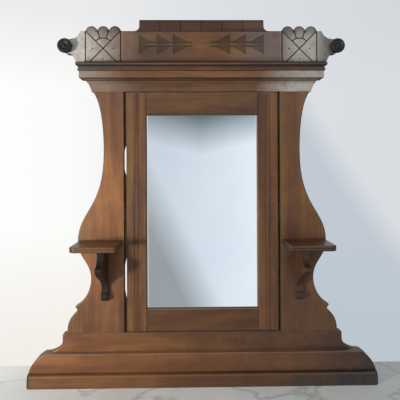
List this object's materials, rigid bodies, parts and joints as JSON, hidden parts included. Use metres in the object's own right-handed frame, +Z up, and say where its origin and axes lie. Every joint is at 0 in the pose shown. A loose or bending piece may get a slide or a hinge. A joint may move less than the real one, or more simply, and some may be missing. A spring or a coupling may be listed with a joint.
{
  "type": "vanity mirror",
  "caption": "Dresser-top vanity mirror in walnut: a framed plate that tilts between bandsawn side boards with bracketed shelves, under a moulded cornice and a carved crest with knobs.",
  "frame": {"origin": "middle of the underside, at mid thickness of the side boards", "axes": "+X to the viewer's right along the base, +Z up, the front faces -Y"},
  "size_m": [1.047, 0.167, 1.097],
  "materials": {
    "walnut": "oiled satin",
    "ebonised_wood": "satin black",
    "pine": "bare, aged",
    "silvered_glass": "polished",
    "dark_iron": "dark patina",
    "screw_steel": "dull"
  },
  "bodies": {
    "carcass": {"left_side_board": "walnut", "right_side_board": "walnut", "lower_rail": "walnut", "top_rail": "walnut", "base_board": "walnut", "plinth_moulding": "walnut", "bed_mould_front": "walnut", "left_bed_mould_return": "walnut", "right_bed_mould_return": "walnut", "fascia_front": "walnut", "left_fascia_end": "walnut", "right_fascia_end": "walnut", "cornice_cap": "walnut", "crest_board": "walnut", "crest_block": "walnut", "left_knob": "ebonised_wood", "right_knob": "ebonised_wood", "left_shelf": "walnut", "right_shelf": "walnut", "left_bracket": "walnut", "right_bracket": "walnut", "left_batten": "pine", "right_batten": "pine", "batten_screws": "screw_steel", "base_screws": "screw_steel", "shelf_screws": "screw_steel", "bracket_screws": "screw_steel", "left_pivot_socket": "dark_iron", "right_pivot_socket": "dark_iron", "socket_screws": "screw_steel"},
    "mirror_frame": {"left_stile": "walnut", "right_stile": "walnut", "top_frame_rail": "walnut", "bottom_frame_rail": "walnut", "mirror_plate": "silvered_glass", "plate_blocks": "pine", "back_panel": "pine", "panel_nails": "screw_steel", "left_pivot_pin": "dark_iron", "right_pivot_pin": "dark_iron", "pin_screws": "screw_steel"}
  },
  "joints": [
    {"name": "mirror_tilt", "type": "hinge", "parent": "carcass", "child": "mirror_frame", "pos_m": [0, 0, 0.515], "axis": [1, 0, 0], "range_deg": [-20, 20]}
  ]
}
